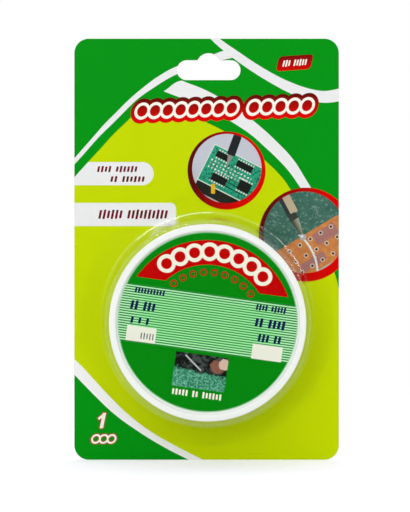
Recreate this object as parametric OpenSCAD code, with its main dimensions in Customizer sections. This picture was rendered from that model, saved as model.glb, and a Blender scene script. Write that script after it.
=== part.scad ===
// Solder wire reel in its hang-sell blister pack.
// X runs across the pack, Z runs up it and -Y points at the person who looks at its front.
// The origin is where the display peg bears in the hang slot, in the plane of the card's back.

/* [Reel] */
// Outside diameter of the reel's two flanges
reel_d = 64; // [58:1:80]
// Width of the reel over both flanges
reel_w = 20.6; // [16:0.1:30]
// Radial width of the raised rim on each flange
rim_w = 2.3; // [1.5:0.1:4]
// Height of the raised rim over the flange's web
rim_h = 1.2; // [1.2:0.1:2]
// Thickness of each flange's web
web_t = 1.6; // [1:0.1:2.5]
// Rounding of the rim's edges
rim_edge_r = 0.5; // [0.2:0.1:0.7]
// Outside diameter of the hub that the wire is wound on
hub_d = 30; // [24:1:34]
// Wall thickness of the hub tube
hub_wall = 1.9; // [1.5:0.1:2.5]
// Diameter of the bore that takes a stand's spindle
spindle_bore_d = 16; // [8:0.5:16]
// Length of the spigot that joins the two halves of the reel
spigot_len = 9; // [5:0.5:10]
// Radial clearance between the spigot and the hub tube
spigot_fit = 0.05; // [0.02:0.01:0.1]
// Height of the snap bead on the spigot
snap_bead_h = 0.5; // [0.3:0.1:0.8]
// Radius of the small lightening holes round each web
web_hole_r = 1.5; // [1:0.1:2]
// Number of small lightening holes round each web
web_holes = 3; // [3:1:6]

/* [Label] */
// Free gap between the round label's edge and the rim
label_gap = 0.4; // [0.2:0.1:4]
// Thickness of the label
label_t = 0.15; // [0.1:0.05:0.4]
// How far above the middle of the flange the label is stuck
label_lift = 0.2; // [0:0.05:0.2]

/* [Solder] */
// Diameter of the solder wire
wire_d = 1.0; // [0.6:0.1:1.1]
// Height of flange left free over the wound wire
wound_margin = 8; // [6:0.5:10]
// Least free gap between neighbouring turns of the outer layer
turn_gap = 0.55; // [0.5:0.05:1]
// Radius of the wire's bends where it meets the flanges
wire_bend_r = 1.0; // [0.8:0.1:1.5]
// Distance from the rim's inner wall to the middle of the hole that the free end leaves through
tail_hole_inset = 2.7; // [2.4:0.1:3.6]
// Free radial gap between the wire and the holes that it passes
wire_hole_gap = 0.3; // [0.2:0.05:0.5]
// Length of the free end that lies behind the rear flange
tail_len = 13; // [8:0.5:16]
// Length of the inner end that lies behind the rear flange
start_len = 6; // [3:0.5:8]
// Diameter of the flux core in the wire
flux_d = 0.4; // [0.2:0.05:0.5]
// Length of the open flux core at the cut end
flux_len = 4; // [2:0.5:6]

/* [Blister] */
// Thickness of the clear sheet
sheet_t = 0.4; // [0.3:0.05:0.6]
// Free gap between the reel's rim and the dome's wall at the front
side_gap = 1.0; // [0.8:0.05:4]
// Free gap between the reel and the dome's front
front_gap = 0.5; // [0.4:0.1:2]
// Free gap between the reel and the card
reel_card_gap = 0.4; // [0.3:0.1:1.5]
// Draft angle of the dome's wall, in degrees
draft_angle = 7.2; // [3:0.1:12]
// Width of the flat flange that is sealed to the card
seal_w = 6.9; // [4:0.1:10]
// Outer radius of the dome's front edge
dome_edge_r = 1.7; // [1:0.1:2]
// Inner radius where the dome's wall meets the flange
dome_foot_r = 0.8; // [0.4:0.1:1.5]

/* [Card] */
// Thickness of the backing card
card_t = 0.5; // [0.3:0.1:1.2]
// Radius of the card's corners
card_corner_r = 4.9; // [2:0.1:8]
// Width of card left beside the sealed flange on each side
side_margin = 2.0; // [1:0.1:20]
// Height of card left under the sealed flange
foot_margin = 4.7; // [1:0.1:20]
// Height of the printed header above the sealed flange
header_h = 52.6; // [25:0.1:90]
// Sideways offset of the reel from the middle of the card
reel_shift = 0.3; // [-0.8:0.1:0.8]

/* [Hang slot] */
// Length of the hang slot from end to end
slot_w = 21.7; // [18:0.1:32]
// Height of the straight body of the hang slot
slot_h = 6.8; // [5:0.1:9]
// Width of the round hump over the middle of the hang slot
hump_w = 7.6; // [6:0.1:10]
// Height of the hump over the straight body
hump_h = 2.4; // [1:0.1:3.5]
// Height of card left above the hang slot
slot_top_margin = 4.9; // [3:0.1:10]
// Sideways offset of the hang slot from the middle of the card
slot_shift = 0.7; // [-3:0.1:3]

/* [Hidden] */
$fn = 96;
overcut = 1;

// Reel, along its own axis: z is 0 on the card's face and grows towards the dome.
reel_r = reel_d / 2;
rim_in_r = reel_r - rim_w;
hub_r = hub_d / 2;
bore_r = spindle_bore_d / 2;
spigot_r = hub_r - hub_wall - spigot_fit;
reel_back_z = reel_card_gap;
reel_front_z = reel_back_z + reel_w;
rear_web_out_z = reel_back_z + rim_h;
rear_web_in_z = rear_web_out_z + web_t;
front_web_out_z = reel_front_z - rim_h;
front_web_in_z = front_web_out_z - web_t;
spigot_top_z = rear_web_in_z + spigot_len;
snap_z = spigot_top_z - 2 * snap_bead_h;

// Solder wire.
wire_r = wire_d / 2;
wire_hole_r = wire_r + wire_hole_gap;
turn_r = reel_r - wound_margin - wire_r;
rings_per_turn = 24;
rings_per_bend = 6;
tube_sides = 6;
// The core just touches the tube's flats midway between its rings.
core_r = (turn_r - wire_r) * cos(180 / rings_per_turn);
// Room at each flange for one straight wire diameter and one bend.
end_room = wire_d + wire_bend_r;
wound_span = front_web_in_z - rear_web_in_z - 2 * end_room;
turns = floor(wound_span / (wire_d + turn_gap));
turn_pitch = wound_span / turns;
lead_angle = atan(turn_pitch / (2 * PI * turn_r));
// Angle round the reel at which the outer layer starts.
start_angle = 200;
// Gap between a bent-over end and the web that it lies along.
recess_wire_gap = 0.1;
elbow_r = wire_r + recess_wire_gap;
tail_hole_radius = rim_in_r - tail_hole_inset;
start_hole_radius = hub_r + wire_d;
start_hole_angle = 250;
// How far the free end leans in from the tangent.
tail_lean = 25;
web_hole_radius = (hub_r + turn_r) / 2;

// Blister. Its profile keeps its two bends as arcs of this many steps.
arc_steps = 8;
dome_in_z = reel_front_z + front_gap;
dome_front_r = reel_r + side_gap;
dome_base_r = dome_front_r + dome_in_z * tan(draft_angle);
seal_r = dome_base_r + sheet_t + seal_w;

// Card and hang slot, with z at 0 where the peg bears.
card_w = 2 * (seal_r + side_margin);
card_h = foot_margin + 2 * seal_r + header_h;
card_top_z = slot_top_margin;
card_bottom_z = card_top_z - card_h;
card_mid_x = -slot_shift;
slot_top_z = -hump_h;
slot_end_r = slot_h / 2;
// The hump's circle passes through both ends of its foot and through its top.
hump_r = (hump_w * hump_w / 4 + hump_h * hump_h) / (2 * hump_h);
reel_x = card_mid_x + reel_shift;
reel_z = card_bottom_z + foot_margin + seal_r;

// Puts children on the reel's axis: their z runs out of the card's face, their y runs up.
module on_reel_axis() {
    translate([reel_x, -card_t, reel_z]) rotate([90, 0, 0]) children();
}

// A ring section in the (radius, z) plane.
module section(r0, r1, z0, z1) {
    translate([r0, z0]) square([r1 - r0, z1 - z0]);
}

// A ring section with four rounded corners of radius e.
module rounded_section(r0, r1, z0, z1, e) {
    section(r0 + e, r1 - e, z0, z1);
    section(r0, r1, z0 + e, z1 - e);
    for (r = [r0 + e, r1 - e], z = [z0 + e, z1 - e]) {
        translate([r, z]) circle(e);
    }
}

// ---------------------------------------------------------------- card

// Rectangle with round corners, centred on x and standing on y = 0.
module card_outline() {
    w = card_w - 2 * card_corner_r;
    h = card_h - 2 * card_corner_r;
    translate([-w / 2, 0]) square([w, card_h]);
    translate([-card_w / 2, card_corner_r]) square([card_w, h]);
    for (x = [-w / 2, w / 2], y = [card_corner_r, card_corner_r + h]) {
        translate([x, y]) circle(card_corner_r);
    }
}

// Long slot with round ends and a shallow round hump over its middle.
module slot_outline() {
    straight = slot_w - slot_h;
    translate([-straight / 2, slot_top_z - slot_h]) square([straight, slot_h]);
    for (x = [-straight / 2, straight / 2]) {
        translate([x, slot_top_z - slot_end_r]) circle(slot_end_r);
    }
    // Only the part of the hump's circle over the middle of the slot counts.
    intersection() {
        translate([0, -hump_r]) circle(hump_r);
        translate([-slot_w / 2, slot_top_z - slot_end_r]) square([slot_w, slot_end_r + hump_h]);
    }
}

module backing_card() {
    color([0.70, 0.80, 0.05])
    rotate([90, 0, 0])
    linear_extrude(card_t)
    difference() {
        translate([card_mid_x, card_bottom_z]) card_outline();
        slot_outline();
    }
}

// ---------------------------------------------------------------- blister

// Points of an arc of radius r round (cx, cy), from angle a0 to angle a1.
function arc(cx, cy, r, a0, a1) =
    [for (i = [0:arc_steps]) let (a = a0 + (a1 - a0) * i / arc_steps) [cx + r * cos(a), cy + r * sin(a)]];

// Sheet surface from the flange's edge to the dome's centre. The inner surface has off = 0 and the outer one
// has off = sheet_t, and both share the centres of their two bends, so the wall keeps its thickness.
function sheet_surface(off) =
    let (
        foot_arm = dome_foot_r + sheet_t,
        foot_lift = foot_arm * tan((90 - draft_angle) / 2),
        edge_arm = dome_edge_r - sheet_t,
        foot_c = [dome_base_r + foot_lift, foot_arm],
        edge_c = [
            dome_base_r - (dome_in_z - edge_arm) * tan(draft_angle) - edge_arm / cos(draft_angle),
            dome_in_z - edge_arm
        ]
    )
    concat(
        [[seal_r, off]],
        arc(foot_c[0], foot_c[1], foot_arm - off, 270, 180 + draft_angle),
        arc(edge_c[0], edge_c[1], edge_arm + off, draft_angle, 90),
        [[0, dome_in_z + off]]
    );

function reversed(list) = [for (i = [len(list) - 1:-1:0]) list[i]];

module blister_shell() {
    color([0.9, 0.95, 0.95, 0.3])
    on_reel_axis()
    rotate_extrude()
    polygon(concat(sheet_surface(sheet_t), reversed(sheet_surface(0))));
}

// ---------------------------------------------------------------- reel

// Ring of small holes through a web between the two given heights.
module web_hole_ring(z0, z1) {
    for (i = [0:web_holes - 1]) {
        rotate([0, 0, 90 + i * 360 / web_holes])
        translate([web_hole_radius, 0, z0]) cylinder(h = z1 - z0, r = web_hole_r);
    }
}

// Front flange and the hub tube that the wire is wound on.
module reel_front_half() {
    color([0.95, 0.95, 0.94])
    on_reel_axis()
    difference() {
        rotate_extrude() {
            section(bore_r, rim_in_r + rim_w / 2, front_web_in_z, front_web_out_z);
            rounded_section(rim_in_r, reel_r, front_web_in_z, reel_front_z, rim_edge_r);
            section(hub_r - hub_wall, hub_r, rear_web_in_z, front_web_in_z);
        }
        rotate_extrude() translate([spigot_r, snap_z]) circle(snap_bead_h + spigot_fit);
        web_hole_ring(front_web_in_z - overcut, front_web_out_z + overcut);
    }
}

// Rear flange and the spigot that snaps into the hub tube.
module reel_rear_half() {
    color([0.93, 0.93, 0.92])
    on_reel_axis()
    difference() {
        rotate_extrude() {
            section(bore_r, rim_in_r + rim_w / 2, rear_web_out_z, rear_web_in_z);
            rounded_section(rim_in_r, reel_r, reel_back_z, rear_web_in_z, rim_edge_r);
            difference() {
                union() {
                    section(bore_r, spigot_r, rear_web_in_z, spigot_top_z);
                    translate([spigot_r, snap_z]) circle(snap_bead_h);
                }
                section(0, bore_r, rear_web_in_z - overcut, spigot_top_z + overcut);
            }
        }
        web_hole_ring(rear_web_out_z - overcut, rear_web_in_z + overcut);
        translate([tail_hole[0], tail_hole[1], rear_web_out_z - overcut])
        cylinder(h = web_t + 2 * overcut, r = wire_hole_r);
        rotate([0, 0, start_hole_angle]) translate([start_hole_radius, 0, rear_web_out_z - overcut])
        cylinder(h = web_t + 2 * overcut, r = wire_hole_r);
    }
}

module front_label() {
    color([0.01, 0.52, 0.06])
    on_reel_axis()
    translate([0, label_lift, front_web_out_z]) cylinder(h = label_t, r = rim_in_r - label_gap);
}

// ---------------------------------------------------------------- solder

// Each station of the wire is [position, direction, side], where side is square to direction.
// A station on the drum of radius turn_r, at angle a and height z, heading down by the angle dip.
function drum_station(a, z, dip) = [
    [turn_r * cos(a), turn_r * sin(a), z],
    [-sin(a) * cos(dip), cos(a) * cos(dip), -sin(dip)],
    [cos(a), sin(a), 0]
];

// Angle that a distance along the drum's surface takes.
function drum_angle(s) = s * 180 / (PI * turn_r);

// The layer starts on the front web, runs straight for one wire diameter and bends into the first turn.
bend_sweep = 90 - lead_angle;
first_turn_z = front_web_in_z - wire_d - wire_bend_r * cos(lead_angle);
bend_reach = wire_bend_r * (1 - sin(lead_angle));
layer_start = concat(
    [drum_station(start_angle, front_web_in_z, 90)],
    [
        for (i = [0:rings_per_bend - 1])
        let (dip = 90 - bend_sweep * i / rings_per_bend)
        drum_station(
            start_angle + drum_angle(wire_bend_r * (1 - sin(dip))),
            front_web_in_z - wire_d - wire_bend_r * cos(dip),
            dip
        )
    ]
);
turns_angle = start_angle + drum_angle(bend_reach);
layer_turns = [
    for (i = [0:turns * rings_per_turn])
    let (a = i * 360 / rings_per_turn)
    drum_station(turns_angle + a, first_turn_z - turn_pitch * a / 360, lead_angle)
];

// The free end leaves the last turn along its tangent, bends towards the rear web and passes its hole.
last_turn = layer_turns[len(layer_turns) - 1];
last_angle = turns_angle + turns * 360;
along = [-sin(last_angle), cos(last_angle), 0];
tail_reach = sqrt(tail_hole_radius * tail_hole_radius - turn_r * turn_r);
tail_hole = last_turn[0] + along * tail_reach;
straight_len = (tail_reach - bend_reach) / cos(lead_angle);
bend_from = last_turn[0] + last_turn[1] * straight_len;
layer_tail = concat(
    [
        for (i = [0:rings_per_bend])
        let (dip = lead_angle + bend_sweep * i / rings_per_bend)
        [
            bend_from + along * wire_bend_r * (sin(dip) - sin(lead_angle))
                - [0, 0, wire_bend_r * (cos(lead_angle) - cos(dip))],
            along * cos(dip) - [0, 0, sin(dip)],
            last_turn[2]
        ]
    ],
    [[[tail_hole[0], tail_hole[1], rear_web_out_z], [0, 0, -1], last_turn[2]]]
);

layer_route = concat(layer_start, layer_turns, layer_tail);

// Tube of the given radius along stations, with triangles only and flat closed ends.
module wire_tube(stations, r) {
    n = len(stations);
    ring_points = [
        for (st = stations, k = [0:tube_sides - 1])
        let (a = k * 360 / tube_sides)
        st[0] + r * (cos(a) * st[2] + sin(a) * cross(st[1], st[2]))
    ];
    walls = [
        for (i = [0:n - 2], k = [0:tube_sides - 1])
        let (
            p = i * tube_sides + k,
            q = i * tube_sides + (k + 1) % tube_sides
        )
        each [[p, p + tube_sides, q], [q, p + tube_sides, q + tube_sides]]
    ];
    start_cap = [for (k = [1:tube_sides - 2]) [0, k, k + 1]];
    end = (n - 1) * tube_sides;
    end_cap = [for (k = [1:tube_sides - 2]) [end, end + k + 1, end + k]];
    polyhedron(ring_points, concat(walls, start_cap, end_cap));
}

// Least free gap between stations of the route that lie over half a turn apart along it.
function least_gap(stations, r) = min([
    for (i = [0:len(stations) - 1], j = [i + rings_per_turn / 2:1:len(stations) - 1])
    norm(stations[i][0] - stations[j][0]) - 2 * r
]);
echo(least_gap_of_outer_layer = least_gap(layer_route, wire_r));

// Plain closed ring that stands for the layers under the outer one.
module wound_core() {
    color([0.62, 0.63, 0.64])
    on_reel_axis()
    rotate_extrude() section(hub_r, core_r, rear_web_in_z, front_web_in_z);
}

module outer_layer() {
    color([0.72, 0.73, 0.74])
    on_reel_axis()
    wire_tube(layer_route, wire_r);
}

// Quarter bend from along -z to along +x, starting at the origin.
module wire_elbow() {
    translate([elbow_r, 0, 0]) rotate([90, 0, 180])
    rotate_extrude(angle = -90) translate([elbow_r, 0]) circle(wire_r);
}

// Inner end of the wire, from the wound layers through its hole and along the back of the rear web.
module wire_start() {
    color([0.72, 0.73, 0.74])
    on_reel_axis()
    rotate([0, 0, start_hole_angle]) translate([start_hole_radius, 0, 0]) {
        translate([0, 0, rear_web_out_z]) cylinder(h = web_t, r = wire_r);
        translate([0, 0, rear_web_out_z]) rotate([0, 0, 90]) {
            wire_elbow();
            translate([elbow_r, 0, -elbow_r]) rotate([0, 90, 0]) cylinder(h = start_len, r = wire_r);
        }
    }
}

// Puts children at the tail hole, with x along the free end and z = 0 on the web's outer face.
module on_tail() {
    on_reel_axis()
    translate([tail_hole[0], tail_hole[1], rear_web_out_z])
    rotate([0, 0, atan2(tail_hole[1], tail_hole[0]) - 90 - tail_lean])
    children();
}

// Free end of the wire, bent over the edge of its hole, with the flux core's bore in its cut end.
module wire_tail() {
    color([0.72, 0.73, 0.74])
    on_tail() {
        wire_elbow();
        translate([elbow_r, 0, -elbow_r]) rotate([0, 90, 0])
        difference() {
            cylinder(h = tail_len, r = wire_r);
            translate([0, 0, tail_len - flux_len]) cylinder(h = flux_len + overcut, d = flux_d);
        }
    }
}

module flux_core() {
    color([0.80, 0.55, 0.20])
    on_tail()
    translate([elbow_r + tail_len - flux_len, 0, -elbow_r]) rotate([0, 90, 0])
    cylinder(h = flux_len, d = flux_d);
}

backing_card();
blister_shell();
reel_front_half();
reel_rear_half();
front_label();
wound_core();
outer_layer();
wire_start();
wire_tail();
flux_core();
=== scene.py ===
"""Dresses a carded reel of solder wire and sets its stage.

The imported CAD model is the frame. Pieces that need smooth or wound surfaces are made here, the others keep
their CAD mesh, and each gets a procedural finish. Lengths inside the shape and print code are millimetres of
the CAD frame: +X right, +Y away from the viewer, +Z up.
"""

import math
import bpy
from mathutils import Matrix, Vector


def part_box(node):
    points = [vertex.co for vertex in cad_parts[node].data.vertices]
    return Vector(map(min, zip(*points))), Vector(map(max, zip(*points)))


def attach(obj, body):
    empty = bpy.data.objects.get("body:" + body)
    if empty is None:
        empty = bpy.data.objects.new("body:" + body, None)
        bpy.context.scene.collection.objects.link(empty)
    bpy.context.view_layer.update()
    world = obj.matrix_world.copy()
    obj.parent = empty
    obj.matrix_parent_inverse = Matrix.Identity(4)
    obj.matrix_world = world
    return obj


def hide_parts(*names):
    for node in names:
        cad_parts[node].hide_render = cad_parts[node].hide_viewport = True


bl_info = {
    "name": "Carded Solder Reel",
    "version": (1, 0, 0),
    "blender": (4, 5, 0),
    "location": "3D View > Sidebar > Solder Reel",
    "description": "Makes the pieces, the finishes and the stage of a carded reel of solder wire",
    "category": "Add Mesh",
}

from functools import reduce

import bpy
import numpy as np
from bpy.props import FloatProperty, FloatVectorProperty, IntProperty, PointerProperty
from mathutils import Vector

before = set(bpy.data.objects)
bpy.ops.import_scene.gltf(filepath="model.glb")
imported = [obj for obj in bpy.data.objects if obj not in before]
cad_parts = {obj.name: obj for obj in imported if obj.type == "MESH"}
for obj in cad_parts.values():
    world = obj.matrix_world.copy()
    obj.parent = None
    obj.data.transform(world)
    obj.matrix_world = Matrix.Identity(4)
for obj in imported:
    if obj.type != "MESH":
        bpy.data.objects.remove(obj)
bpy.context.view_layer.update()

MM = 0.001


def edges_mm(node):
    """Lowest and highest corner of a CAD node in millimetres."""
    low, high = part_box(node)
    return np.array(low) / MM, np.array(high) / MM


card_low, _ = edges_mm("backing_card")
front_low, front_high = edges_mm("reel_front_half")
_, rear_high = edges_mm("reel_rear_half")
label_low, label_high = edges_mm("front_label")
shell_low, shell_high = edges_mm("blister_shell")

CARD_FACE_Y = card_low[1]
AXIS_X = (front_low[0] + front_high[0]) / 2
AXIS_Z = (front_low[2] + front_high[2]) / 2
REEL_R = (front_high[0] - front_low[0]) / 2
# Heights along the reel's axis, from the card's face towards the viewer.
REEL_FRONT = CARD_FACE_Y - front_low[1]
REEL_BACK = CARD_FACE_Y - rear_high[1]
SHELL_FRONT = CARD_FACE_Y - shell_low[1]
LABEL_R = (label_high[0] - label_low[0]) / 2
LABEL_Z = (label_low[2] + label_high[2]) / 2
FLANGE_R = (shell_high[0] - shell_low[0]) / 2


def shade(code):
    """Scene-linear colour of a six-digit display colour."""
    raw = np.array([int(code[i : i + 2], 16) for i in (0, 2, 4)]) / 255
    return tuple(np.where(raw <= 0.04045, raw / 12.92, ((raw + 0.055) / 1.055) ** 2.4).tolist())


def colour(name, code, description):
    return FloatVectorProperty(
        name=name, description=description, default=shade(code), size=3, min=0, max=1, subtype="COLOR"
    )


def length(name, mm, description):
    return FloatProperty(
        name=name, description=description, default=mm * MM, min=0, unit="LENGTH", subtype="DISTANCE"
    )


def power(name, watts, description):
    return FloatProperty(name=name, description=description, default=watts, min=0, unit="POWER")


# ---------------- settings


class CardSettings(bpy.types.PropertyGroup):
    ground: colour("Ground", "029313", "Green ground of the print")
    field: colour("Field", "C5D900", "Lime field behind the reel")
    band: colour("Bands", "EBEBEA", "Pale sweeping bands and text panels")
    red: colour("Red", "D80400", "Bright end of the red shapes")
    dark_red: colour("Dark red", "5C0A05", "Dark end of the red shapes")
    ink: colour("Text blocks", "6E1020", "Blocks that stand for the text lines")
    white: colour("White motif", "FBF3E6", "Coil motif and small white marks")
    board: colour("Bare board", "C9C7BE", "Unprinted board of the back and the cut edges")


class LabelSettings(bpy.types.PropertyGroup):
    ground: colour("Ground", "01860B", "Green ground of the label")
    banner: colour("Banner", "C00000", "Red arched banner")
    motif: colour("Motif", "F4F0DC", "Coil motif on the banner")
    stripe: colour("Pale line", "A2EFA6", "Pale pinstripes of the band")
    line: colour("Dark line", "1E8A3C", "Green between the pinstripes")
    box: colour("Boxes", "EEEDDD", "Empty write-on boxes")
    ink: colour("Ink", "101A4E", "Blocks that stand for the text lines")
    turn: FloatProperty(
        name="Turn",
        description="How far the label is stuck on clockwise",
        default=math.radians(7.8),
        subtype="ANGLE",
    )


class ReelSettings(bpy.types.PropertyGroup):
    plastic: colour("Plastic", "F6F7F2", "White moulded plastic")
    rim_width: length("Rim width", 2.3, "Radial width of the raised rim")
    rim_height: length("Rim height", 1.2, "How far the rim stands above the web")
    web: length("Web", 1.6, "Thickness of the flange web")
    hub: length("Hub radius", 15.0, "Outer radius of the tube that the wire is wound on")
    hub_wall: length("Hub wall", 1.9, "Wall of the hub tube")
    bore: length("Bore radius", 8.0, "Radius of the spindle bore")
    spigot: length("Spigot length", 9.0, "How far the rear half reaches into the hub tube")
    edge: length("Edge radius", 0.5, "Rounding of the rim's edges")


class WireSettings(bpy.types.PropertyGroup):
    solder: colour("Solder", "B4B7BA", "Drawn solder wire")
    rosin: colour("Rosin", "C98A2B", "Flux core seen in the cut end")
    diameter: length("Diameter", 1.0, "Wire diameter")
    turn_radius: length("Turn radius", 23.5, "Radius of the wire's centre in the outer layer")
    turns: FloatProperty(name="Turns", description="Turns in the outer layer", default=13.5, min=1)
    sides: IntProperty(name="Sides", description="Faces round the wire", default=14, min=6)


class BlisterSettings(bpy.types.PropertyGroup):
    tint: colour("Sheen", "F1F5F0", "Colour of what the clear sheet mirrors")
    bloom_and_sheen: colour("Bloom", "C8C8C0", "Colour of the drawn plastic's bloom")
    sheet: length("Sheet", 0.4, "Sheet thickness")
    side_gap: length("Side gap", 1.0, "Gap between the dome and the reel at the front")
    edge: length("Edge radius", 1.7, "Outer rounding of the dome's front edge")
    foot: length("Foot radius", 0.8, "Rounding where the dome meets the flange")
    draft: FloatProperty(
        name="Draft", description="Lean of the dome's wall", default=math.radians(7.2), subtype="ANGLE"
    )


class StageSettings(bpy.types.PropertyGroup):
    floor: colour("Floor", "FCFCFC", "Floor under the card")
    key: power("Key lamp", 4.9, "Power of the soft lamp at the left")
    top: power("Top lamp", 1.6, "Power of the soft lamp at the upper left")
    side: power("Side lamp", 0.8, "Power of the tall lamp at the right")
    back: power("Back lamp", 1.0, "Power of the lamp behind the card")
    glint: power("Glint lamps", 9.5, "Power of each strip that only glossy surfaces show")
    sky: FloatProperty(name="Fill", description="Strength of the even light from all round", default=0.74)
    distance: length("Distance", 423.0, "From the camera to the card's face")
    lens: FloatProperty(name="Lens", description="Focal length in millimetres", default=87.37, min=1)


# Tones of small print and of worn or mottled places. Those of the large areas are settings.
TONES = {
    # Card. The lower band's tone is lighter than the bands' setting: painted light for the weaker light low
    # on the card.
    "lower_band_lit": "F6F5F4", "numeral_edge": "96100A", "board_fibre": "AFA99A", "dark_strand": "8B8576",
    "pale_strand": "E2DFD3",
    # Circuit board under an iron's tip.
    "wall": "C3C6CF", "wall_foot": "A2A6A4", "stand": "22261E", "board_edge": "D9E2D4", "board": "2BA27C",
    "track": "0F4A36", "pad": "DDE6DC", "board_speck": "123027", "pin": "D5DAD2", "chip": "1A211C",
    "capacitor": "E0B020", "iron": "23262A", "iron_tip": "8D8B80",
    # Strip board with a bead of solder.
    "bench": "1F4A3E", "bench_light": "53806F", "bench_fleck": "86A79A", "strip_shadow": "27352E",
    "strip_edge": "A9BDB4", "strip": "D08A45", "strip_worn": "AD6148", "land": "9C6F72",
    "hole_ring": "CDBBA8", "hole": "3A241A", "strand": "DDE0DC", "handle": "B9A98C", "handle_side": "33383A",
    "collar": "3A3F3A", "tip_dark": "4B5143", "tip_light": "9BA089", "bead": "A9AEA9",
    "bead_glint": "F0F2EE",
    # Label.
    "small_rings": "A81C0C", "crisp_stripe": "C2F6C4", "crisp_line": "0A7A28", "grey_ink": "4A4E55",
    "dark": "121411", "dark_light": "444D49", "bare_board": "3A9270", "bare_board_light": "8CCBAE",
    "bare_board_dark": "1B5A44", "rod": "B7BBBE", "brown": "5E382B", "brown_light": "A4705C",
    "pink": "D6B7A4", "label_rim": "A9DDB0", "paper": "E9E7DD",
    # Reel and wire.
    "flow_mark": "F0F1EF", "tarnish": "8E9194", "dark_rosin": "8F5513",
}


# ---------------- surfaces

# Angles between faces, in radians, past which an edge stays sharp.
CRISP = 0.6
ROUND = 0.9
WOUND = 1.0
# Unit vector down the reel's axis, towards the card.
DOWN = np.array([0.0, 0.0, -1.0])
WHITE = (1.0, 1.0, 1.0, 1.0)


def on_reel_axis(points):
    """Takes reel coordinates (right, up, height above the card's face) to the frame."""
    points = np.asarray(points, float)
    return np.stack(
        (AXIS_X + points[..., 0], CARD_FACE_Y - points[..., 2], AXIS_Z + points[..., 1]), axis=-1
    )


def grid_faces(rows, columns, wrap_rows, first=0):
    """Quads between neighbouring rows of a grid whose columns close on themselves."""
    i = np.arange(rows if wrap_rows else rows - 1)[:, None]
    k = np.arange(columns)[None, :]
    a, b = i * columns, ((i + 1) % rows) * columns
    k1 = (k + 1) % columns
    return np.stack((a + k, b + k, b + k1, a + k1), axis=-1).reshape(-1, 4) + first


def fan(tip, first, count, backwards=False):
    """Triangles from a tip point to each side of the ring of points that starts at first."""
    k = np.arange(count)
    a, b = (k, (k + 1) % count)[:: -1 if backwards else 1]
    return np.stack((np.full(count, tip), first + a, first + b), axis=-1)


def new_piece(name, points, quads, fans=(), smooth=CRISP):
    """Makes an object from points in millimetres, quads and triangles, and turns its faces outwards.

    The enclosed volume is the sum of the signed tetrahedra from the origin to each triangle. Where it comes
    out negative, every face is listed backwards.
    """
    triangles = np.concatenate((quads[:, [0, 1, 2]], quads[:, [0, 2, 3]], *fans))
    a, b, c = (points[triangles[:, n]] for n in range(3))
    faces = quads.tolist() + [triangle for f in fans for triangle in f.tolist()]
    if np.einsum("ij,ij->", a, np.cross(b, c)) < 0:
        faces = [face[::-1] for face in faces]
    mesh = bpy.data.meshes.new(name)
    mesh.from_pydata((points * MM).tolist(), [], faces)
    mesh.validate()
    mesh.shade_smooth()
    mesh.set_sharp_from_angle(angle=smooth)
    piece = bpy.data.objects.new(name, mesh)
    bpy.context.scene.collection.objects.link(piece)
    return piece


def lathe(name, outline, steps=192, closed=True, smooth=CRISP):
    """Turns an outline of (radius, height) round the reel's axis.

    A point is (radius cos a, radius sin a, height) for the angle a. A closed outline joins its last point to
    its first. An open one starts and ends on the axis, where each end is one point with a fan of triangles.
    """
    outline = np.asarray(outline, float)
    body = outline if closed else outline[1:-1]
    a = np.linspace(0, 2 * np.pi, steps, endpoint=False)
    radius, height = body[:, None, 0], np.repeat(body[:, 1:2], steps, axis=1)
    rings = np.stack((radius * np.cos(a), radius * np.sin(a), height), axis=-1).reshape(-1, 3)
    quads = grid_faces(len(body), steps, closed)
    if closed:
        return new_piece(name, on_reel_axis(rings), quads, smooth=smooth)
    poles = np.array([[0, 0, outline[0, 1]], [0, 0, outline[-1, 1]]])
    n = len(rings)
    fans = (fan(n, 0, steps), fan(n + 1, n - steps, steps, backwards=True))
    return new_piece(name, on_reel_axis(np.concatenate((rings, poles))), quads, fans, smooth)


def arc(centre, radius, start, end, steps):
    """Points of a circle's arc, angles in degrees: centre + radius (cos a, sin a)."""
    a = np.radians(np.linspace(start, end, steps))
    return np.stack((centre[0] + radius * np.cos(a), centre[1] + radius * np.sin(a)), axis=-1)


def bends(*rows):
    """Outline through arcs, each (centre's radius and height, bend, first and last angle, points)."""
    return np.concatenate([arc(row[:2], *row[2:]) for row in rows])


def unit(v):
    """Each vector divided by its length."""
    return v / np.linalg.norm(v, axis=-1, keepdims=True)


def wire(name, path, side, radius, sides, blunt=0.12):
    """Carries a circle along a path in reel coordinates, with a slightly rounded cut at both ends.

    The direction is the path's gradient, the side vector is made square to it, and the circle is
    radius (cos a side + sin a direction x side). A narrower ring, this share of the radius further out,
    stands before the closing fan at each end.
    """
    path = np.asarray(path, float)
    along = unit(np.gradient(path, axis=0))
    side = np.broadcast_to(np.asarray(side, float), path.shape)
    side = unit(side - np.sum(side * along, axis=1, keepdims=True) * along)
    across = np.cross(along, side)
    reach = radius * blunt
    path = np.concatenate((path[:1] - along[:1] * reach, path, path[-1:] + along[-1:] * reach))
    side, across = (np.pad(v, ((1, 1), (0, 0)), mode="edge") for v in (side, across))
    size = np.full(len(path), radius)
    size[[0, -1]] = radius * (1 - blunt * 1.5)
    a = np.linspace(0, 2 * np.pi, sides, endpoint=False)[None, :, None]
    rings = path[:, None] + size[:, None, None] * (np.cos(a) * side[:, None] + np.sin(a) * across[:, None])
    n = len(path) * sides
    fans = (fan(n, 0, sides), fan(n + 1, n - sides, sides, backwards=True))
    points = on_reel_axis(np.concatenate((rings.reshape(-1, 3), path[[0, -1]])))
    return new_piece(name, points, grid_faces(len(path), sides, False), fans, ROUND)


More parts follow.
